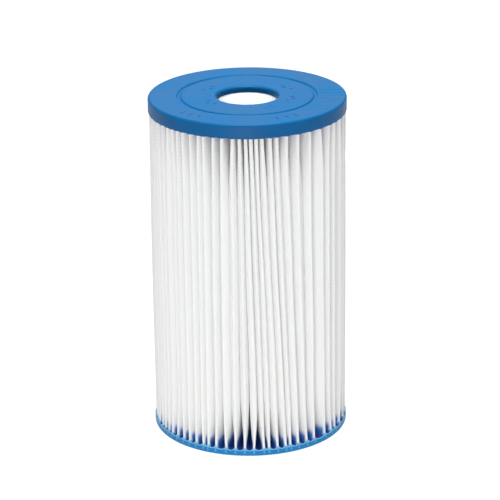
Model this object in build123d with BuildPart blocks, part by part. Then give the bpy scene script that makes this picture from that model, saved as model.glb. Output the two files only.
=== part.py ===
from build123d import *

import os
from math import acos, cos, degrees, radians, sin

# Pleated filter cartridge for a pool: two cast end caps, a pleated sheet with its seam, and a caged core
# in three sections. Millimetres. The origin is the centre of the bottom face, and +Z runs up the axis.

# Driving dimensions of the cartridge
cartridge_height = 254.0
cap_radius = 72.0
bore_radius = 22.3
top_cap_thickness = 10.0
bottom_cap_thickness = 5.6
top_bore_length = 4.8
bottom_bore_length = 2.4
rim_fillet = 1.6
top_bore_fillet = 2.0
bottom_bore_fillet = 1.0

# Ring groove that the casting mould's standoff ring leaves in each cap's outer face
groove_radius = 49.4
groove_width = 3.4
groove_depth = 1.0
groove_floor_fillet = 0.6

# Pleated sheet
pleat_count = 70
sheet_thickness = 0.7
pleat_outer_radius = 71.2
pleat_inner_radius = 28.3
outer_fold_radius = 0.8
inner_fold_radius = 0.5
sheet_bottom = 1.6
sheet_top = cartridge_height - 2.2

# Strip of hot-melt that closes the sheet, between its two free ends
seam_thickness = 0.8
seam_outer_radius = 40.0

# Core, a stack of three identical cage sections
section_count = 3
core_inner_radius = 25.0
core_wall = 1.6
collar_wall = 2.5
collar_height = 6.0
spigot_height = 4.0
spigot_radius = 26.05
socket_clearance = 0.05
core_bottom = bottom_bore_length
core_top = cartridge_height - top_bore_length
section_height = (core_top - core_bottom - spigot_height) / section_count
windows_around = 12
window_rows = 6
window_width = 9.6
window_height = 8.6
window_corner = 1.2

pleat_angle = 360.0 / pleat_count
half_sheet = sheet_thickness / 2
outer_fold_centre = pleat_outer_radius - outer_fold_radius - half_sheet
inner_fold_centre = pleat_inner_radius + inner_fold_radius + half_sheet


def polar(radius, angle):
    """Point at a radius and an angle in degrees."""
    return Vector(radius * cos(radians(angle)), radius * sin(radians(angle)))


def leg(outer_angle, inner_angle, offset):
    """Ends, outer and inner, of one face of the leg between an outer fold and an inner fold beside it.

    The leg is the crossed tangent of the two folds. The offset puts the face that far from the middle
    of the sheet, towards the outside of the cartridge.
    """
    outer_centre = polar(outer_fold_centre, outer_angle)
    inner_centre = polar(inner_fold_centre, inner_angle)
    across = inner_centre - outer_centre
    turn = degrees(acos((outer_fold_radius + inner_fold_radius) / across.length))
    if inner_angle > outer_angle:
        turn = -turn
    normal = across.normalized().rotate(Axis.Z, turn)
    outer_end = outer_centre + normal * (outer_fold_radius + offset)
    inner_end = inner_centre - normal * (inner_fold_radius - offset)
    return outer_end, inner_end


def outer_fold(angle, offset):
    """One face of the sheet round the outer fold at an angle."""
    start = leg(angle, angle - pleat_angle / 2, offset)[0]
    end = leg(angle, angle + pleat_angle / 2, offset)[0]
    ThreePointArc(start, polar(outer_fold_centre + outer_fold_radius + offset, angle), end)


def inner_fold(angle, offset):
    """One face of the sheet round the inner fold at an angle."""
    start = leg(angle - pleat_angle / 2, angle, offset)[1]
    end = leg(angle + pleat_angle / 2, angle, offset)[1]
    ThreePointArc(start, polar(inner_fold_centre - inner_fold_radius + offset, angle), end)


def free_end(side, offset):
    """Bend and cut edge of one face of a free end of the sheet, whose outside lies flat against the seam.

    The seam lies along +X. Side is 1 for the free end on its +Y side and -1 for the other.
    """
    across = side * (seam_thickness / 2 + half_sheet - offset)
    return Vector(seam_outer_radius, across), Vector(pleat_inner_radius, across)


def sheet_face(offset):
    """One face of the sheet, all the way round from one free end to the other."""
    first_bend, first_edge = free_end(1, offset)
    last_bend, last_edge = free_end(-1, offset)
    Line(first_edge, first_bend)
    Line(first_bend, leg(pleat_angle / 2, 0, offset)[0])
    outer_fold(pleat_angle / 2, offset)
    with BuildLine(mode=Mode.PRIVATE) as pleat:
        Line(leg(-pleat_angle / 2, 0, offset))
        inner_fold(0, offset)
        Line(leg(pleat_angle / 2, 0, offset))
        outer_fold(pleat_angle / 2, offset)
    with PolarLocations(0, pleat_count - 1, pleat_angle, 360 - pleat_angle):
        add(pleat.line)
    Line(leg(-pleat_angle / 2, 0, offset)[0], last_bend)
    Line(last_bend, last_edge)


def moulded_core_section():
    """Cage section standing on the origin: collars at both ends, a spigot on top, a socket below."""
    wall_radius = core_inner_radius + core_wall
    collar_radius = core_inner_radius + collar_wall
    window_pitch = (section_height - 2 * collar_height) / window_rows

    with BuildPart() as window_column:
        with BuildSketch(Plane.YZ):
            with Locations((0, section_height / 2)):
                with GridLocations(window_width, window_pitch, 1, window_rows):
                    RectangleRounded(window_width, window_height, window_corner)
        extrude(amount=collar_radius)

    with BuildPart() as section:
        with BuildSketch():
            Circle(wall_radius)
        extrude(amount=section_height)
        with PolarLocations(0, windows_around):
            add(window_column.part, mode=Mode.SUBTRACT)
        with BuildSketch(Plane.XY, Plane.XY.offset(section_height - collar_height)):
            Circle(collar_radius)
        extrude(amount=collar_height)
        with BuildSketch(Plane.XY.offset(section_height)):
            Circle(spigot_radius)
        extrude(amount=spigot_height)
        with BuildSketch():
            Circle(core_inner_radius)
        extrude(amount=section_height + spigot_height, mode=Mode.SUBTRACT)
        with BuildSketch():
            Circle(spigot_radius + socket_clearance)
        extrude(amount=spigot_height, mode=Mode.SUBTRACT)
    return section.part


def cast_cap(thickness, bore_length, bore_fillet):
    """End cap lying on its outer face at the origin, before the pieces cast into it are cut out.

    The lip of the bore is the outermost part of the passage, with a rounded mouth. Past it the passage is
    as wide as the core.
    """
    with BuildPart() as cap:
        with BuildSketch():
            Circle(cap_radius)
            Circle(bore_radius, mode=Mode.SUBTRACT)
        extrude(amount=thickness)
        outer_face_edges = cap.edges().group_by(Axis.Z)[0].sort_by(SortBy.RADIUS)
        fillet(outer_face_edges[-1], radius=rim_fillet)
        fillet(outer_face_edges[0], radius=bore_fillet)
        with BuildSketch(Plane.XY.offset(bore_length)):
            Circle(core_inner_radius)
        extrude(amount=thickness - bore_length, mode=Mode.SUBTRACT)
        with BuildSketch():
            Circle(groove_radius + groove_width / 2)
            Circle(groove_radius - groove_width / 2, mode=Mode.SUBTRACT)
        extrude(amount=groove_depth, mode=Mode.SUBTRACT)
        groove_floor = cap.faces().filter_by(Plane.XY).filter_by_position(Axis.Z, groove_depth, groove_depth)
        fillet(groove_floor.edges(), radius=groove_floor_fillet)
    return cap.part


os.makedirs("parts", exist_ok=True)

# Core, three sections bottom to top, each one's spigot in the next one's socket
core_section = moulded_core_section()
core_sections = []
for level, place in enumerate(("lower", "middle", "upper")):
    with BuildPart() as placed_section:
        with Locations((0, 0, core_bottom + level * section_height)):
            add(core_section)
    placed_section.part.label = f"core_section_{place}"
    export_step(placed_section.part, f"parts/core_section_{place}.step")
    core_sections.append(placed_section.part)

# Pleated sheet, one strip of spunbond polyester folded round the core
with BuildPart() as pleated_media:
    with BuildSketch(Plane.XY.offset(sheet_bottom)):
        with BuildLine():
            sheet_face(half_sheet)
            sheet_face(-half_sheet)
            for side in (1, -1):
                Line(free_end(side, half_sheet)[1], free_end(side, -half_sheet)[1])
        make_face()
    extrude(amount=sheet_top - sheet_bottom)
pleated_media.part.label = "pleated_media"
export_step(pleated_media.part, "parts/pleated_media.step")

# Strip of hot-melt that glues the sheet's two free ends together
with BuildPart() as media_side_seam:
    with BuildSketch(Plane.XY.offset(sheet_bottom)):
        with Locations((pleat_inner_radius, 0)):
            Rectangle(seam_outer_radius - pleat_inner_radius, seam_thickness, align=(Align.MIN, Align.CENTER))
    extrude(amount=sheet_top - sheet_bottom)
media_side_seam.part.label = "media_side_seam"
export_step(media_side_seam.part, "parts/media_side_seam.step")

# Bottom end cap, cast round the feet of the sheet, the seam and the core
with BuildPart() as bottom_end_cap:
    add(cast_cap(bottom_cap_thickness, bottom_bore_length, bottom_bore_fillet))
    add((pleated_media.part, media_side_seam.part, core_sections[0]), mode=Mode.SUBTRACT)
bottom_end_cap.part.label = "bottom_end_cap"
export_step(bottom_end_cap.part, "parts/bottom_end_cap.step")

# Top end cap, thicker and cast the same way, with its outer face up
with BuildPart() as top_end_cap:
    with Locations(Plane(origin=(0, 0, cartridge_height), z_dir=(0, 0, -1))):
        add(cast_cap(top_cap_thickness, top_bore_length, top_bore_fillet))
    add((pleated_media.part, media_side_seam.part, core_sections[-1]), mode=Mode.SUBTRACT)
top_end_cap.part.label = "top_end_cap"
export_step(top_end_cap.part, "parts/top_end_cap.step")
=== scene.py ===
import math
import random

import bpy
import numpy as np
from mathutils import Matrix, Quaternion, Vector
from mathutils.kdtree import KDTree


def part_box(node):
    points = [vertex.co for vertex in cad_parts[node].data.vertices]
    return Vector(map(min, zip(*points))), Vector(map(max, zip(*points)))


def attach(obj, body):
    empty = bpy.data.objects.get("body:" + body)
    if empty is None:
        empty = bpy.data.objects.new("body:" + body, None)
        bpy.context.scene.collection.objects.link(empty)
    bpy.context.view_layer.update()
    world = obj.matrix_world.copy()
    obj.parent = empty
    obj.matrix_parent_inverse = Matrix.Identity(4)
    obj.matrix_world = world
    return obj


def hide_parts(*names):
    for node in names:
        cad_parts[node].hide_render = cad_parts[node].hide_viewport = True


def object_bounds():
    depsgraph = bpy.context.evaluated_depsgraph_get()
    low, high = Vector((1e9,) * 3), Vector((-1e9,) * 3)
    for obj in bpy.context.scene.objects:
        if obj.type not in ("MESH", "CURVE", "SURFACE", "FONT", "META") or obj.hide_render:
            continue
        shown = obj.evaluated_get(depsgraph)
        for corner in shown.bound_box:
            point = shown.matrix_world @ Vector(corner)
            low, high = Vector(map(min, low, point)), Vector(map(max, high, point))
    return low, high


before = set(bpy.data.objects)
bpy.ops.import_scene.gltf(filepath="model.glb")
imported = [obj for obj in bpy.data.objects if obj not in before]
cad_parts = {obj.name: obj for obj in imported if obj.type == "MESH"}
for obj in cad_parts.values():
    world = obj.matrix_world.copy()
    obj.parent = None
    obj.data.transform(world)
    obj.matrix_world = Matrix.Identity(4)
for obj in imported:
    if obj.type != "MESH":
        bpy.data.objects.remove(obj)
cad_low, cad_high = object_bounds()

# ---------------------------------------------------------------------------------------------------
# Core: three identical cage sections of natural white polypropylene, injection moulded and stacked
# spigot in socket. The CAD sections already have their true shape, so they only get their material.
# ---------------------------------------------------------------------------------------------------
MM = 0.001


def linear(hex_colour):
    """Linear RGBA of an sRGB hex colour."""
    values = [int(hex_colour[i:i + 2], 16) / 255 for i in (1, 3, 5)]
    return [v / 12.92 if v <= 0.04045 else ((v + 0.055) / 1.055) ** 2.4 for v in values] + [1.0]


def add_node(material, kind, links=None, **settings):
    """Adds a shader node. Links names its input sockets, each with a value or an output to join."""
    tree = material.node_tree
    node = tree.nodes.new(kind)
    for name, value in settings.items():
        setattr(node, name, value)
    for socket, value in (links or {}).items():
        if isinstance(value, bpy.types.NodeSocket):
            tree.links.new(value, node.inputs[socket])
        else:
            node.inputs[socket].default_value = value
    return node


def new_material(name):
    """An empty node material with its output node."""
    material = bpy.data.materials.new(name)
    material.use_nodes = True
    material.node_tree.nodes.clear()
    return material


def finish_material(material, surface):
    """Joins a shader to a new output node."""
    add_node(material, "ShaderNodeOutputMaterial", {"Surface": surface.outputs[0]})
    return material


def moulded_polypropylene():
    """Natural polypropylene, moulded: a waxy, slightly milky white with faint flow clouds."""
    material = new_material("moulded_polypropylene")
    place = add_node(material, "ShaderNodeTexCoord").outputs["Object"]
    flow_cloud = 12 * MM
    clouds = add_node(material, "ShaderNodeTexNoise",
                      {"Vector": place, "Scale": 1 / flow_cloud, "Detail": 3.0, "Roughness": 0.5})
    white = add_node(material, "ShaderNodeMix",
                     {"Factor": clouds.outputs["Fac"], "A": linear("#F8FAFA"), "B": linear("#F0F3F3")},
                     data_type="RGBA")
    spark_texture = 0.6 * MM
    grain = add_node(material, "ShaderNodeTexNoise",
                     {"Vector": place, "Scale": 1 / spark_texture, "Detail": 1.0})
    bump = add_node(material, "ShaderNodeBump",
                    {"Height": grain.outputs["Fac"], "Strength": 0.15, "Distance": 0.05 * MM})
    surface = add_node(material, "ShaderNodeBsdfPrincipled",
                       {"Base Color": white.outputs["Result"], "Roughness": 0.38, "IOR": 1.49,
                        "Subsurface Weight": 0.2, "Subsurface Radius": (1.0, 1.0, 1.0),
                        "Subsurface Scale": 1.2 * MM, "Normal": bump.outputs["Normal"]})
    return finish_material(material, surface)


polypropylene = moulded_polypropylene()
core_nodes = ["core_section_lower", "core_section_middle", "core_section_upper"]
for node_name in core_nodes:
    section_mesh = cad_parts[node_name].data
    section_mesh.materials.clear()
    section_mesh.materials.append(polypropylene)

# ---------------------------------------------------------------------------------------------------
# Pleated cloth: one strip of white spunbond polyester, 0.7 mm thick, folded into 70 pleats by hand
# and machine and stood round the core. Both caps pinch the pleats shut, and between them they puff out.
# ---------------------------------------------------------------------------------------------------
cloth_low, cloth_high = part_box("pleated_media")
core_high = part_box("core_section_lower")[1]
bottom_cap_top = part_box("bottom_end_cap")[1].z
top_cap_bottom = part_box("top_end_cap")[0].z

pleat_count = 70
sheet_thickness = 0.7 * MM
cloth_outer = cloth_high.y
cloth_inner = core_high.y + 0.8 * MM
inner_fold_radius = 0.5 * MM
seam_half_width = 0.75 * MM
seam_reach = 40 * MM

hand = random.Random(20)

# Angles of the gaps between the pleats, from the seam round to the seam. No two pleats have the same
# room: a pair was crowded together, and the last seven before the seam were spread further apart.
uneven_by, crowded_by, spread_by = 0.26, 0.15, 0.48
sector_weights = [1 + uneven_by * hand.uniform(-1, 1) for _ in range(pleat_count)]
for narrow_sector in (59, 60):
    sector_weights[narrow_sector] -= crowded_by
for spread_sector in range(pleat_count - 7, pleat_count):
    sector_weights[spread_sector] += spread_by
gap_angles = np.concatenate([[0], np.cumsum(sector_weights)]) * (360 / sum(sector_weights))

# The pleats right of the front are bunched towards it at the top cap, so they lean down to the right.
# Both lists are in degrees: where round the axis, and how far the gap is moved at the top.
lean_at = [262, 285, 302, 307, 342]
lean_amounts = [0, 8, 8, 2.8, 0]
gap_lean = np.interp(gap_angles, lean_at, lean_amounts)


def by_pleat(low, high):
    """One number for each pleat, drawn between two limits."""
    return np.array([hand.uniform(low, high) for _ in range(pleat_count)])


# Each pleat's half width where a cap pinches it, how far off its middle it is pinched, in shares of its
# room, how far up it takes to open, how it leans and wanders sideways in between, and how deep its
# shoulders lie behind its tip
pinch_at_bottom = by_pleat(0.4, 0.65) * MM
pinch_at_top = by_pleat(0.7, 1.1) * MM
off_middle_at_bottom = by_pleat(-0.2, 0.2)
off_middle_at_top = by_pleat(-0.15, 0.15)
opens_over_bottom = by_pleat(28, 44) * MM
opens_over_top = by_pleat(30, 60) * MM
room_used = by_pleat(0.96, 1.0)
tip_lean = by_pleat(-0.2, 0.2)
open_tip = by_pleat(0.45, 0.8) * MM
wander_phase = by_pleat(0, 2 * math.pi)
wander_waves = by_pleat(0.6, 1.6)
tip_step_in = by_pleat(0, 0.6) * MM
shoulder_depth_share = by_pleat(0.6, 0.85)

# Limits that all the pleats share. The cloth bulges a little between the caps, and no two pleats touch.
bulge = 0.6 * MM
shallowest_shoulder, deepest_shoulder = 2.6 * MM, 6 * MM
smallest_puff, largest_puff = 0.8 * MM, 4.6 * MM
closest_gap = 0.08 * MM
wander_degrees = 0.3
shoulder_roundness = 0.3
tip_points = 5


def polar(radius, degrees):
    """Points in plan at a radius and at angles in degrees, as rows of x and y."""
    turn = np.radians(degrees)
    return np.stack([radius * np.cos(turn), radius * np.sin(turn)], axis=-1)


def turned_left(vectors):
    """Vectors in plan turned a quarter turn anticlockwise."""
    return np.stack([-vectors[..., 1], vectors[..., 0]], axis=-1)


def unit(vectors):
    """Vectors at length one."""
    return vectors / np.linalg.norm(vectors, axis=-1, keepdims=True)


def opened(distance, height):
    """How far a pleat has opened, from 0 to 1, at a distance from the cap that pinches it."""
    slows_down = 1.4
    share = np.clip(distance / height, 0, 1)
    return 1 - (1 - share) ** slows_down


def smooth_points(start, start_way, end, end_way, shares):
    """Points between two ends, along a smooth curve that leaves and arrives the ways given."""
    fullness = 0.9
    pull = np.linalg.norm(end - start, axis=-1, keepdims=True) * fullness
    points = []
    for share in shares:
        a = 2 * share**3 - 3 * share**2 + 1
        b = share**3 - 2 * share**2 + share
        c = 3 * share**2 - 2 * share**3
        d = share**3 - share**2
        points.append(a * start + b * pull * start_way + c * end + d * pull * end_way)
    return points


def cloth_profile(z):
    """Middle line of the folded cloth at a height, from one free end at the seam round to the other."""
    share = (z - bottom_cap_top) / (top_cap_bottom - bottom_cap_top)
    free = math.sin(math.pi * min(max(share, 0), 1))
    gaps = gap_angles - gap_lean * share
    inners = gap_angles - 0.5 * gap_lean * share
    wander = np.sin(2 * math.pi * wander_waves * share + wander_phase)
    gaps[1:-1] += wander_degrees * free * wander[1:]

    # Each pleat is widest at its shoulders, a few millimetres behind its narrow tip. Its room is in degrees.
    room = np.diff(gaps)
    from_bottom = opened(z - bottom_cap_top, opens_over_bottom)
    from_top = opened(top_cap_bottom - z, opens_over_top)
    open_share = from_bottom * from_top
    pinched = np.where(share < 0.5, pinch_at_bottom, pinch_at_top)
    shoulder_depth = shoulder_depth_share * np.radians(room) * cloth_outer
    shoulder_depth = np.clip(shoulder_depth, shallowest_shoulder, deepest_shoulder)
    shoulder_radius = cloth_outer - shoulder_depth
    puffed = np.radians(room) * shoulder_radius / 2 - sheet_thickness / 2 - closest_gap / 2
    puffed = np.clip(puffed * room_used, smallest_puff, largest_puff)
    shoulder_width = (pinched + (puffed - pinched) * open_share)[:, None]
    tip_width = (pinched + (open_tip - pinched) * open_share)[:, None]

    off_middle = off_middle_at_bottom * (1 - from_bottom) + off_middle_at_top * (1 - from_top)
    middles = (gaps[:-1] + gaps[1:]) / 2 + off_middle * room
    tips = middles + tip_lean * room * open_share
    tip_radius = (cloth_outer + (bulge - tip_step_in) * free)[:, None] - tip_width - sheet_thickness / 2
    tip_centres = unit(polar(1, tips)) * tip_radius
    shoulder_centres = unit(polar(1, middles)) * shoulder_radius[:, None]
    inner_centres = polar(cloth_inner + inner_fold_radius + sheet_thickness / 2, inners)
    root_middles = (inner_centres[:-1] + inner_centres[1:]) / 2
    tip_out = unit(tip_centres - shoulder_centres)
    tip_side = turned_left(tip_out)
    out = unit(shoulder_centres - root_middles)
    side = turned_left(out)
    slope = np.arctan2((shoulder_width - tip_width)[:, 0], shoulder_depth - tip_width[:, 0])
    gap_middles = (shoulder_centres[:-1] + shoulder_centres[1:]) / 2
    inner_out = unit(gap_middles - inner_centres[1:-1])
    inner_side = turned_left(inner_out)

    # The two free ends run flat along the seam, mirrored across the x axis
    seam_edge = np.array([cloth_inner, seam_half_width])
    seam_bend = np.array([seam_reach, seam_half_width])
    along_x = np.array([1.0, 0.0])
    mirror = np.array([1, -1])
    strip = [seam_edge + (seam_bend - seam_edge) * s for s in (0, 0.35, 0.7, 1)]

    # Shares along a leg, from a fold at the core to a shoulder, and along a flank, from there to the tip
    leg = (0.15, 0.45, 0.8)
    flank = (0.5,)
    path = list(strip)
    leg_start, leg_way = seam_bend, along_x
    for k in range(pleat_count):
        # Up one side to the shoulder, over the tip and down to the other shoulder
        half_turn = math.pi / 2 - slope[k]
        shoulders = [shoulder_centres[k] + way * shoulder_width[k] * side[k] for way in (-1, 1)]
        arc_ways = [math.sin(half_turn) * tip_out[k] - way * math.cos(half_turn) * tip_side[k]
                    for way in (-1, 1)]
        tip = [tip_centres[k] + tip_width[k] * (math.cos(turn) * tip_out[k] + math.sin(turn) * tip_side[k])
               for turn in np.linspace(-half_turn, half_turn, tip_points)]
        path += smooth_points(leg_start, leg_way, shoulders[0], out[k], leg)
        path.append(shoulders[0])
        flank_ways = [unit(end - start + shoulder_roundness * shoulder_depth[k] * out[k])
                      for start, end in zip(shoulders, (tip[0], tip[-1]))]
        path += smooth_points(shoulders[0], flank_ways[0], tip[0], arc_ways[0], flank)
        path += tip
        path += smooth_points(tip[-1], -arc_ways[1], shoulders[1], -flank_ways[1], flank)
        path.append(shoulders[1])
        if k == pleat_count - 1:
            break
        # Down to the fold at the core, and round it
        root = inner_centres[k + 1]
        root_start = root - inner_side[k] * inner_fold_radius
        root_end = root + inner_side[k] * inner_fold_radius
        path += smooth_points(shoulders[1], -out[k], root_start, -inner_out[k], leg)
        path += [root_start, root - inner_out[k] * inner_fold_radius, root_end]
        leg_start, leg_way = root_end, inner_out[k]
    path += smooth_points(path[-1], -out[-1], seam_bend * mirror, -along_x, leg)
    path += [point * mirror for point in reversed(strip)]
    return np.array(path)


def cloth_face(profile, offset):
    """The profile moved sideways by an offset, outwards at the tips."""
    ways = np.gradient(profile, axis=0)
    return profile - turned_left(unit(ways)) * offset


def cloth_levels():
    """Heights of the cloth's rows of vertices, close together where the caps pinch the pleats."""
    steps_from_cap = [0, 2.4, 4.0, 5.2, 6.8, 9, 12, 15.5, 19.5, 24, 29, 35, 42]
    low = [cloth_low.z + step * MM for step in steps_from_cap]
    high = [cloth_high.z - step * MM for step in steps_from_cap]
    middle_rows = 10
    middle = np.linspace(low[-1], high[-1], middle_rows + 2)[1:-1]
    return low + list(middle) + high[::-1]


def folded_cloth():
    """The folded cloth as a closed mesh with two faces and thin edges, and a flat-cut UV map in metres."""
    levels = cloth_levels()
    rows = []
    for z in levels:
        profile = cloth_profile(z)
        for offset in (sheet_thickness / 2, -sheet_thickness / 2):
            face = cloth_face(profile, offset)
            rows.append(np.column_stack([face, np.full(len(face), z)]))
    columns = len(rows[0])
    vertices = np.concatenate(rows)

    middle_profile = cloth_profile(levels[len(levels) // 2])
    steps = np.linalg.norm(np.diff(middle_profile, axis=0), axis=1)
    flat_x = np.concatenate([[0], np.cumsum(steps)])

    def vertex(level, face, column):
        return (level * 2 + face) * columns + column

    quads = []
    last = len(levels) - 1
    for level in range(last):
        for c in range(columns - 1):
            quads.append((vertex(level, 0, c), vertex(level, 0, c + 1),
                          vertex(level + 1, 0, c + 1), vertex(level + 1, 0, c)))
            quads.append((vertex(level, 1, c + 1), vertex(level, 1, c),
                          vertex(level + 1, 1, c), vertex(level + 1, 1, c + 1)))
        quads.append((vertex(level, 1, 0), vertex(level, 0, 0),
                      vertex(level + 1, 0, 0), vertex(level + 1, 1, 0)))
        end = columns - 1
        quads.append((vertex(level, 0, end), vertex(level, 1, end),
                      vertex(level + 1, 1, end), vertex(level + 1, 0, end)))
    for c in range(columns - 1):
        quads.append((vertex(0, 1, c), vertex(0, 1, c + 1), vertex(0, 0, c + 1), vertex(0, 0, c)))
        quads.append((vertex(last, 0, c), vertex(last, 0, c + 1),
                      vertex(last, 1, c + 1), vertex(last, 1, c)))

    mesh = bpy.data.meshes.new("pleated_cloth")
    mesh.from_pydata(vertices.tolist(), [], quads)
    uv = mesh.uv_layers.new(name="flat_cut")
    corners = np.empty(len(mesh.loops), dtype=int)
    mesh.loops.foreach_get("vertex_index", corners)
    flat = np.column_stack([flat_x[corners % columns], vertices[corners, 2]])
    uv.data.foreach_set("uv", flat.ravel())
    mesh.polygons.foreach_set("use_smooth", [True] * len(mesh.polygons))
    mesh.update()
    return mesh, float(flat_x[-1])


def spunbond_polyester():
    """Spunbond polyester: matt white, cloudy where fibres bunch, with bond points pressed in.

    Light passes into the cloth and spreads. Vinyl has crept a little way up it from the bottom cap, and the
    blue there is also painted light bounced off the cap.
    """
    material = new_material("spunbond_polyester")
    place = add_node(material, "ShaderNodeTexCoord").outputs["Object"]
    flat = add_node(material, "ShaderNodeUVMap", uv_map="flat_cut").outputs["UV"]
    fibre_cloud = 5 * MM
    clouds = add_node(material, "ShaderNodeTexNoise",
                      {"Vector": flat, "Scale": 1 / fibre_cloud, "Detail": 5.0, "Roughness": 0.65})
    white = add_node(material, "ShaderNodeMix",
                     {"Factor": clouds.outputs["Fac"], "A": linear("#F4F4F3"), "B": linear("#EEEEEE")},
                     data_type="RGBA")

    # Bond points are 1.2 mm apart on the real cloth and too fine to show, so they are drawn 2 mm apart
    bond_pitch = 2.0 * MM
    diamond = add_node(material, "ShaderNodeMapping",
                       {"Vector": flat, "Rotation": (0, 0, math.radians(45)),
                        "Scale": (1 / bond_pitch, 1 / bond_pitch, 1)})
    bonds = add_node(material, "ShaderNodeTexVoronoi",
                     {"Vector": diamond.outputs["Vector"], "Scale": 1.0, "Randomness": 0.12},
                     feature="F1", voronoi_dimensions="2D")
    pressed = add_node(material, "ShaderNodeMapRange",
                       {"Value": bonds.outputs["Distance"], "From Min": 0.18, "From Max": 0.34,
                        "To Min": 0.0, "To Max": 1.0}, interpolation_type="SMOOTHSTEP")
    bonded = add_node(material, "ShaderNodeMix",
                      {"Factor": pressed.outputs["Result"], "A": linear("#ECECED"),
                       "B": white.outputs["Result"]}, data_type="RGBA")

    # Vinyl creeps up the cloth from the bottom cap, everywhere but on the tips, and fades out as it goes.
    # The blue is partly that vinyl and partly painted light bounced off the cap, most deep between the
    # pleats
    xyz = add_node(material, "ShaderNodeSeparateXYZ", {"Vector": place})
    radius = add_node(material, "ShaderNodeVectorMath",
                      {0: add_node(material, "ShaderNodeCombineXYZ",
                                   {"X": xyz.outputs["X"], "Y": xyz.outputs["Y"]}).outputs["Vector"]},
                      operation="LENGTH")
    full_up_to, gone_above = bottom_cap_top + 1.5 * MM, bottom_cap_top + 8.5 * MM
    creep_and_bounce_height = add_node(material, "ShaderNodeMapRange",
                     {"Value": xyz.outputs["Z"], "From Min": full_up_to, "From Max": gone_above,
                      "To Min": 1.0, "To Max": 0.0}, interpolation_type="SMOOTHERSTEP")
    behind_tip = add_node(material, "ShaderNodeMapRange",
                          {"Value": radius.outputs["Value"], "From Min": cloth_outer - 2.4 * MM,
                           "From Max": cloth_outer - 0.6 * MM, "To Min": 1.0, "To Max": 0.0})
    creep_and_bounce_tint = add_node(material, "ShaderNodeMath",
                     {0: creep_and_bounce_height.outputs["Result"], 1: behind_tip.outputs["Result"]}, operation="MULTIPLY")
    creep_and_bounce_tinted = add_node(material, "ShaderNodeMix",
                       {"Factor": creep_and_bounce_tint.outputs["Value"], "A": bonded.outputs["Result"],
                        "B": linear("#3A7ED0")}, data_type="RGBA")

    fibre = 0.35 * MM
    fibres = add_node(material, "ShaderNodeTexNoise",
                      {"Vector": flat, "Scale": 1 / fibre, "Detail": 2.0, "Distortion": 1.5})
    relief = add_node(material, "ShaderNodeMath",
                      {0: fibres.outputs["Fac"], 1: 0.5, 2: pressed.outputs["Result"]},
                      operation="MULTIPLY_ADD")
    bump = add_node(material, "ShaderNodeBump",
                    {"Height": relief.outputs["Value"], "Strength": 0.2, "Distance": 0.1 * MM})
    surface = add_node(material, "ShaderNodeBsdfPrincipled",
                       {"Base Color": creep_and_bounce_tinted.outputs["Result"], "Roughness": 0.85, "IOR": 1.45,
                        "Specular IOR Level": 0.25, "Sheen Weight": 0.1, "Sheen Roughness": 0.6,
                        "Subsurface Weight": 0.25, "Subsurface Radius": (1.0, 1.0, 1.0),
                        "Subsurface Scale": 0.8 * MM, "Normal": bump.outputs["Normal"]})
    return finish_material(material, surface)


cloth_mesh, cloth_length = folded_cloth()
cloth = bpy.data.objects.new("pleated_cloth", cloth_mesh)
bpy.context.scene.collection.objects.link(cloth)
cloth_mesh.materials.append(spunbond_polyester())
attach(cloth, "root")
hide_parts("pleated_media")

# ---------------------------------------------------------------------------------------------------
# Side seam: a flat bead of hot-melt glue, laid between the cloth's two ends from top to bottom and
# pressed while soft, so its edges are round and it is a little thicker in some places than others.
# ---------------------------------------------------------------------------------------------------


def cooled_hot_melt():
    """Hot-melt glue: cloudy cream, smooth from cooling against the press, and soft to the light."""
    material = new_material("hot_melt")
    place = add_node(material, "ShaderNodeTexCoord").outputs["Object"]
    cloud = 6 * MM
    clouds = add_node(material, "ShaderNodeTexNoise", {"Vector": place, "Scale": 1 / cloud, "Detail": 2.0})
    cream = add_node(material, "ShaderNodeMix",
                     {"Factor": clouds.outputs["Fac"], "A": linear("#EFE8CF"), "B": linear("#E2D6B0")},
                     data_type="RGBA")
    surface = add_node(material, "ShaderNodeBsdfPrincipled",
                       {"Base Color": cream.outputs["Result"], "Roughness": 0.32, "IOR": 1.48,
                        "Subsurface Weight": 0.4, "Subsurface Radius": (1.0, 0.9, 0.6),
                        "Subsurface Scale": 2 * MM})
    return finish_material(material, surface)


seam_low, seam_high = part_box("media_side_seam")
seam_centre = (seam_low + seam_high) / 2
bpy.ops.object.select_all(action="DESELECT")
bpy.ops.mesh.primitive_cube_add(size=1, location=seam_centre, scale=seam_high - seam_low)
seam = bpy.context.object
seam.name = "side_seam"
bpy.ops.object.transform_apply(location=True, rotation=True, scale=True)
edge_rounding = seam.modifiers.new("edge_rounding", "BEVEL")
edge_rounding.width = 0.3 * MM
edge_rounding.segments = 3
bpy.ops.object.modifier_apply(modifier="edge_rounding")
bpy.ops.object.mode_set(mode="EDIT")
seam_lengths = 40
for cut in range(1, seam_lengths):
    bpy.ops.mesh.select_all(action="SELECT")
    height = seam_low.z + (seam_high.z - seam_low.z) * cut / seam_lengths
    bpy.ops.mesh.bisect(plane_co=(0, 0, height), plane_no=(0, 0, 1))
bpy.ops.object.mode_set(mode="OBJECT")

# The bead's outer edge stands back by 0.3 mm and wavers by up to 0.25 mm, every few centimetres
edge_set_back = 0.3 * MM
edge_waver = 0.25 * MM
for vertex in seam.data.vertices:
    pressed_wave = edge_waver * math.sin(vertex.co.z * 190) * math.sin(vertex.co.z * 47 + 1)
    if vertex.co.x > seam_centre.x:
        vertex.co.x -= edge_set_back - pressed_wave
bpy.ops.object.shade_smooth_by_angle(angle=math.radians(40))
seam.data.materials.append(cooled_hot_melt())
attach(seam, "root")
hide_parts("media_side_seam")

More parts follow.
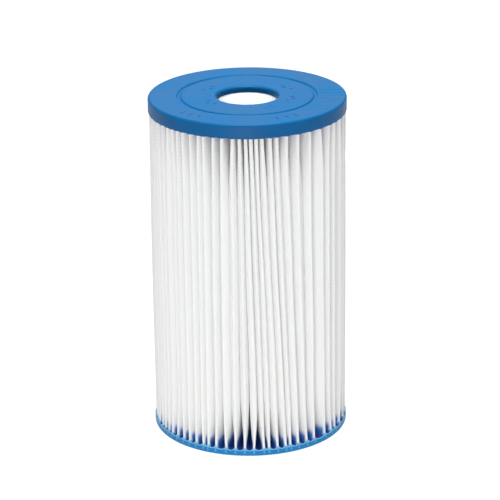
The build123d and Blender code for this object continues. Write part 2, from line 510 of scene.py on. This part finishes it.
# ---------------------------------------------------------------------------------------------------
# End caps: soft blue vinyl poured into round trays, with the core and the cloth stood in it while it
# cured. The tray gives the smooth outer face and rim, and round the cloth the vinyl climbs a little.
# ---------------------------------------------------------------------------------------------------
cap_radius = cad_high.x - 0.01 * MM
bore_radius = 22.3 * MM
core_collar = core_high.y
groove_radius = 49.4 * MM
groove_half_width = 1.4 * MM
groove_depth = 0.9 * MM
cap_facets = 1050  # enough for the pour to follow every pleat


def arc(centre, radius, start, end, steps):
    """Points of a fillet in a cap's half section, at angles in degrees."""
    turns = [math.radians(start + (end - start) * i / steps) for i in range(steps + 1)]
    return [(centre[0] + radius * math.cos(t), centre[1] + radius * math.sin(t)) for t in turns]


def cap_section(lip, pour, bore_fillet):
    """Closed half section of a cap lying on its outer face: radius and height, round the outline."""
    rim_fillet = 1.6 * MM
    corner = 0.25 * MM
    inner_wall, outer_wall = groove_radius - groove_half_width, groove_radius + groove_half_width

    # The poured side, with its rings closest together beside the tray, where it rises and dips most
    section = [(bore_radius, lip), (core_collar, lip), (core_collar, pour)]
    section += [(r * MM, pour) for r in (28.4, 29.5, 31.5, 34.5, 38.5, 43, 48, 53, 57.5, 61.5, 64.5)]
    section += [(r * MM, pour) for r in (66.5, 68, 69.2, 70, 70.5, 70.9, 71.2, 71.5, 71.8)]
    section += [(cap_radius, pour), (cap_radius, pour * 0.85), (cap_radius, pour * 0.6)]
    section += arc((cap_radius - rim_fillet, rim_fillet), rim_fillet, 0, -90, 5)

    # The outer face, with the groove's two sides and its rounded floor, and the mouth of the bore
    section += [(r * MM, 0) for r in (69.5, 67.5, 65, 62, 59, 56, 53.5)]
    section += arc((outer_wall + corner, corner), corner, -90, -180, 2)
    groove_sides = ((0.2 * MM, groove_depth * 0.62), (0.65 * MM, groove_depth * 0.93))
    section += [(outer_wall - inset, depth) for inset, depth in groove_sides]
    section += [(groove_radius, groove_depth)]
    section += [(inner_wall + inset, depth) for inset, depth in reversed(groove_sides)]
    section += arc((inner_wall - corner, corner), corner, 0, -90, 2)
    section += [(r * MM, 0) for r in (46, 42.5, 39, 35.5, 32, 29, 26.8)]
    section += arc((bore_radius + bore_fillet, bore_fillet), bore_fillet, -90, -180, 5)
    return section


def poured_cap(name, section, outer_face, up):
    """Spins a cap's section round the axis. Up is 1 for the cap whose outer face is at the bottom."""
    outline = bpy.data.meshes.new(name)
    joins = [(i, (i + 1) % len(section)) for i in range(len(section))]
    outline.from_pydata([(r, 0, outer_face + up * z) for r, z in section], joins, [])
    cap = bpy.data.objects.new(name, outline)
    bpy.context.scene.collection.objects.link(cap)
    bpy.ops.object.select_all(action="DESELECT")
    cap.select_set(True)
    bpy.context.view_layer.objects.active = cap
    bpy.ops.object.mode_set(mode="EDIT")
    bpy.ops.mesh.select_all(action="SELECT")
    bpy.ops.mesh.spin(steps=cap_facets, angle=2 * math.pi, center=(0, 0, 0), axis=(0, 0, 1))
    bpy.ops.mesh.select_all(action="SELECT")
    bpy.ops.mesh.remove_doubles(threshold=0.005 * MM)
    bpy.ops.mesh.normals_make_consistent(inside=False)
    bpy.ops.object.mode_set(mode="OBJECT")
    return cap


def cloth_finder(z):
    """Finds the distance in plan from a point to the nearest face of the cloth at a height."""
    profile = cloth_profile(z)
    spacing = 0.25 * MM
    points = []
    for a, b in zip(profile[:-1], profile[1:]):
        count = max(1, int(np.linalg.norm(b - a) / spacing))
        points += [a + (b - a) * i / count for i in range(count)]
    tree = KDTree(len(points))
    for i, point in enumerate(points):
        tree.insert((point[0], point[1], 0), i)
    tree.balance()
    return lambda x, y: max(0.0, tree.find((x, y, 0))[2] - sheet_thickness / 2)


def shape_pour(cap, pour, climb, outer_face, up, distance_to_cloth):
    """Raises the pour where it wets the cloth and the tray, and stores two measures of it for the colour.

    Along the tray's wall it stands highest beside the pleats' tips and dips between them. The measures are
    how thick the vinyl is over white cloth, in mm, made thin along the tray for a paler edge that is partly
    a painted highlight, and a painted shade for the pockets between the pleats, from 0 to 1, strongest where
    the pour lies lowest.
    """
    cloth_reach, tip_reach, tray_reach = 0.9 * MM, 1.3 * MM, 0.5 * MM
    skin_at_tray = 0.7 * MM
    dip_share = 0.42
    moves_above = 1.5 * MM
    edge_drop, edge_width = 0.35 * MM, 0.4 * MM
    pale_highlit_edge, pale_highlit_cover = 1.1 * MM, 0.68
    pale_within_mm, pale_above_mm = 2.5, 1.8
    cover = cap.data.attributes.new("cover", "FLOAT", "POINT")
    pocket_shade = cap.data.attributes.new("pocket_shade", "FLOAT", "POINT")
    for vertex in cap.data.vertices:
        x, y, z = vertex.co
        height = (z - outer_face) * up
        radius = math.hypot(x, y)
        gap = distance_to_cloth(x, y)
        thickness = gap / MM
        if radius > core_collar - 0.1 * MM and height > moves_above:
            to_tray = cap_radius - radius
            by_cloth = math.exp(-gap / cloth_reach)
            by_tray = math.exp(-max(0, to_tray - skin_at_tray) / tray_reach)
            by_tip = dip_share + (1 - dip_share) * math.exp(-(gap / tip_reach) ** 2)
            share = min(1.0, (height - moves_above) / (pour - moves_above))
            rounded = edge_drop * max(0, 1 - to_tray / edge_width) ** 2
            vertex.co.z = z + up * (climb * max(by_cloth, by_tray * by_tip) - rounded) * share
            if share > 0.99:
                # Painted shade for the pour in the pockets between the pleats, far from the cloth and the
                # tray
                pocket_shade.data[vertex.index].value = 1 - max(by_cloth, by_tray)
                # A paler edge along the tray: thin vinyl, and partly a painted highlight where the meniscus
                # catches the light
                if to_tray < pale_highlit_edge:
                    thickness = min(thickness, pale_highlit_cover)
            thickness += max(0, to_tray / MM - pale_within_mm)
        thickness += max(0, pale_above_mm - height / MM)
        cover.data[vertex.index].value = thickness


def cast_vinyl(name, deep, thin, show_through, pocket_shade_colour):
    """Soft cast vinyl (plastisol), cured in its tray: satin, with slow waves and a fine orange peel.

    Its colour is deep in the thick, goes by show_through towards thin where it is only a skin over white
    cloth, and darkens to a painted shade, the last colour given, in the pockets where the pour lies lowest
    between the pleats.
    """
    material = new_material(name)
    place = add_node(material, "ShaderNodeTexCoord").outputs["Object"]
    cover = add_node(material, "ShaderNodeAttribute", attribute_name="cover").outputs["Fac"]
    skin = add_node(material, "ShaderNodeMapRange",
                    {"Value": cover, "From Min": 0.25, "From Max": 1.15,
                     "To Min": show_through, "To Max": 0.0}, interpolation_type="SMOOTHSTEP")
    pour_cloud = 22 * MM
    clouds = add_node(material, "ShaderNodeTexNoise",
                      {"Vector": place, "Scale": 1 / pour_cloud, "Detail": 3.0, "Roughness": 0.5})
    mottle = add_node(material, "ShaderNodeMapRange",
                      {"Value": clouds.outputs["Fac"], "From Min": 0.3, "From Max": 0.7,
                       "To Min": 0.93, "To Max": 1.06})
    blue = add_node(material, "ShaderNodeVectorMath",
                    {0: linear(deep)[:3], "Scale": mottle.outputs["Result"]}, operation="SCALE")
    colour = add_node(material, "ShaderNodeMix",
                      {"Factor": skin.outputs["Result"], "A": blue.outputs["Vector"], "B": linear(thin)},
                      data_type="RGBA")
    # Painted shade: the pour in the pockets between the pleats turns to the last colour given
    pocket_shade = add_node(material, "ShaderNodeAttribute", attribute_name="pocket_shade").outputs["Fac"]
    pocket_shaded = add_node(material, "ShaderNodeMix",
                      {"Factor": pocket_shade, "A": colour.outputs["Result"], "B": linear(pocket_shade_colour)}, data_type="RGBA")
    peel = 2.2 * MM
    orange_peel = add_node(material, "ShaderNodeTexNoise",
                           {"Vector": place, "Scale": 1 / peel, "Detail": 2.0, "Roughness": 0.4})
    bump = add_node(material, "ShaderNodeBump",
                    {"Height": orange_peel.outputs["Fac"], "Strength": 0.2, "Distance": 0.12 * MM})
    gloss = add_node(material, "ShaderNodeMapRange",
                     {"Value": clouds.outputs["Fac"], "From Min": 0.3, "From Max": 0.7,
                      "To Min": 0.4, "To Max": 0.5})
    surface = add_node(material, "ShaderNodeBsdfPrincipled",
                       {"Base Color": pocket_shaded.outputs["Result"], "Roughness": gloss.outputs["Result"],
                        "IOR": 1.53, "Specular IOR Level": 0.12, "Normal": bump.outputs["Normal"]})
    return finish_material(material, surface)


# Bottom cap, the thinner of the two. Its pour has sunk between the pleats and wets them well.
bottom_pour = bottom_cap_top - 2.1 * MM
bottom_lip, bottom_mouth = 2.4 * MM, 1.0 * MM
bottom_climb = 2.9 * MM
bottom_section = cap_section(bottom_lip, bottom_pour, bottom_mouth)
bottom_cap = poured_cap("bottom_cap", bottom_section, cad_low.z, 1)
shape_pour(bottom_cap, bottom_pour, bottom_climb, cad_low.z, 1, cloth_finder(bottom_cap_top))
bpy.ops.object.shade_smooth_by_angle(angle=math.radians(50))
# Its deep blue is lighter than the top cap's: partly a thinner skin over the cloth, and partly painted light
# from the floor below
bottom_cap.data.materials.append(cast_vinyl("cast_vinyl_bottom", "#1C7DBC", "#A4D6F2", 0.9, "#403F96"))
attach(bottom_cap, "root")
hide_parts("bottom_end_cap")

# Top cap, thicker, poured the same way
top_pour = cad_high.z - top_cap_bottom
top_lip, top_mouth = 4.8 * MM, 2.0 * MM
top_climb = 0.8 * MM
top_section = cap_section(top_lip, top_pour, top_mouth)
top_cap = poured_cap("top_cap", top_section, cad_high.z, -1)
over_cloth = cloth_finder(top_cap_bottom)
shape_pour(top_cap, top_pour, top_climb, cad_high.z, -1, over_cloth)

# As it cured, its face sank over each pleat outside the groove, most of all on the side of the seam
sink_from = groove_radius + groove_half_width + 0.5 * MM
sink_to = cap_radius - 1.8 * MM
least_sink, most_sink = 0.01 * MM, 0.28 * MM
sink_half_width = 0.7 * MM
for vertex in top_cap.data.vertices:
    x, y, z = vertex.co
    on_face = cad_high.z - z < 0.01 * MM
    if on_face and sink_from < math.hypot(x, y) < sink_to:
        turn = math.atan2(y, x)
        seam_side = (0.5 + 0.5 * math.cos(turn)) ** 6
        uneven = 0.6 + 0.4 * math.sin(13 * turn) * math.sin(5 * turn + 1)
        sink = least_sink + most_sink * seam_side * uneven
        vertex.co.z -= sink * math.exp(-(over_cloth(x, y) / sink_half_width) ** 2)

# Short bars that the mould leaves in the top face, round the bore and by the rim. Each has its turn in
# degrees, and its radius, length and width in millimetres.
mark_depth = 0.2 * MM
marks = []
for turn, radius, length, width in ((206, 31, 3.4, 1.0), (214, 34, 2.4, 1.0), (222, 31, 3.0, 1.0),
                                    (140, 33, 3.4, 1.0), (148, 31, 2.6, 1.0), (156, 35, 2.2, 1.0),
                                    (40, 34, 3.2, 1.0), (32, 32, 2.6, 1.0), (24, 35, 2.4, 1.0),
                                    (350, 33, 3.2, 1.0), (342, 35, 2.6, 1.0), (334, 32, 3.0, 1.0),
                                    (300, 33, 2.8, 1.0), (292, 35, 2.2, 1.0), (236, 61, 4.4, 1.2),
                                    (229, 61, 4.4, 1.2), (222, 61, 4.4, 1.2), (290, 61, 4.4, 1.2),
                                    (297, 61, 4.4, 1.2), (304, 61, 4.4, 1.2)):
    angle = math.radians(turn)
    mark_place = (radius * MM * math.cos(angle), radius * MM * math.sin(angle), cad_high.z)
    bpy.ops.mesh.primitive_cube_add(size=1, location=mark_place, rotation=(0, 0, angle),
                                    scale=(length * MM, width * MM, 2 * mark_depth))
    marks.append(bpy.context.object)
bpy.ops.object.select_all(action="DESELECT")
for mark in marks:
    mark.select_set(True)
bpy.context.view_layer.objects.active = marks[0]
bpy.ops.object.join()
marks_cutter = bpy.context.object
engraving = top_cap.modifiers.new("engraving", "BOOLEAN")
engraving.operation = "DIFFERENCE"
engraving.solver = "EXACT"
engraving.object = marks_cutter
bpy.ops.object.select_all(action="DESELECT")
top_cap.select_set(True)
bpy.context.view_layer.objects.active = top_cap
bpy.ops.object.modifier_apply(modifier="engraving")
bpy.data.objects.remove(marks_cutter)
bpy.ops.object.shade_smooth_by_angle(angle=math.radians(50))
# The last colour is a painted shade for the pour between the pleats
top_cap.data.materials.append(cast_vinyl("cast_vinyl_top", "#065A93", "#5CA4DC", 0.0, "#16408A"))
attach(top_cap, "root")
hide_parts("top_end_cap")

# ---------------------------------------------------------------------------------------------------
# Floor, light and camera: a pale sweep that glows as if it were lit from all round, soft panels above,
# in front and behind, and a long lens that looks a little down.
# ---------------------------------------------------------------------------------------------------
scene = bpy.context.scene
scene.view_settings.view_transform = "Standard"

bpy.ops.object.select_all(action="DESELECT")
bpy.ops.mesh.primitive_plane_add(size=12, location=(0, 0, cad_low.z - 0.05 * MM))
floor = bpy.context.object
floor.name = "floor"
paper = new_material("white_paper_sweep")
paper_surface = add_node(paper, "ShaderNodeBsdfPrincipled",
                         {"Base Color": linear("#5A5A5A"), "Roughness": 0.9, "Specular IOR Level": 0.0,
                          "Emission Color": linear("#FFFDF9"), "Emission Strength": 1.03})
finish_material(paper, paper_surface)
floor.data.materials.append(paper)

# Light goes many times to and fro between the pleats before it is lost
scene.cycles.max_bounces = 24
scene.cycles.diffuse_bounces = 16

white_room = bpy.data.worlds.new("white_room")
scene.world = white_room
white_room.use_nodes = True
white_room.node_tree.nodes.clear()
glow = add_node(white_room, "ShaderNodeBackground", {"Color": linear("#EFEBFF"), "Strength": 0.22})
add_node(white_room, "ShaderNodeOutputWorld", {"Surface": glow.outputs["Background"]})


def soft_panel(name, place, aim, size, power, colour):
    """A square soft light at a place, turned to its aim."""
    lamp = bpy.data.lights.new(name, "AREA")
    lamp.size = size
    lamp.energy = power
    lamp.color = linear(colour)[:3]
    panel = bpy.data.objects.new(name, lamp)
    scene.collection.objects.link(panel)
    panel.location = place
    panel.visible_camera = False
    panel.rotation_euler = (Vector(aim) - Vector(place)).to_track_quat("-Z", "Y").to_euler()


middle = (0, 0, cad_high.z / 2)
soft_panel("top_panel", (0, -0.1, 1.5), middle, 0.5, 30, "#E8FFF4")
soft_panel("front_panel", (-0.06, -0.65, 0), middle, 0.25, 2.6, "#FFFFFF")
soft_panel("back_panel", (0, 1.8, 0.95), middle, 0.8, 2, "#FFFFFF")
soft_panel("rear_panel", (0.06, 0.65, 0), middle, 0.25, 2.6, "#FFFFFF")

# A lamp that lights only the core, through the bore, as a bright room does in a real cage
bore_lamp_data = bpy.data.lights.new("bore_lamp", "SPOT")
bore_lamp_data.energy = 60
bore_lamp_data.spot_size = math.radians(6)
bore_lamp_data.spot_blend = 0.3
bore_lamp_data.shadow_soft_size = 15 * MM
bore_lamp = bpy.data.objects.new("bore_lamp", bore_lamp_data)
scene.collection.objects.link(bore_lamp)
bore_lamp.location = (0, -1.0, cad_high.z + 0.45)
to_bore = Vector((0, 0, cad_high.z)) - bore_lamp.location
bore_lamp.rotation_euler = to_bore.to_track_quat("-Z", "Y").to_euler()
lit_by_bore_lamp = bpy.data.collections.new("lit_by_bore_lamp")
for node_name in core_nodes:
    lit_by_bore_lamp.objects.link(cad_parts[node_name])
bore_lamp.light_linking.receiver_collection = lit_by_bore_lamp

camera_distance = 1.852
camera_elevation = math.radians(20.67)
camera_aim = Vector((0.0008, 0, 0.1343))
camera_roll = math.radians(0.637)
camera_data = bpy.data.cameras.new("camera")
camera_data.lens = 180.2
camera_data.sensor_width = 36
camera = bpy.data.objects.new("camera", camera_data)
scene.collection.objects.link(camera)
scene.camera = camera
camera.location = (0, -camera_distance * math.cos(camera_elevation),
                   cad_high.z / 2 + camera_distance * math.sin(camera_elevation))
camera.rotation_mode = "QUATERNION"
towards = (camera_aim - camera.location).to_track_quat("-Z", "Y")
camera.rotation_quaternion = towards @ Quaternion((0, 0, 1), -camera_roll)
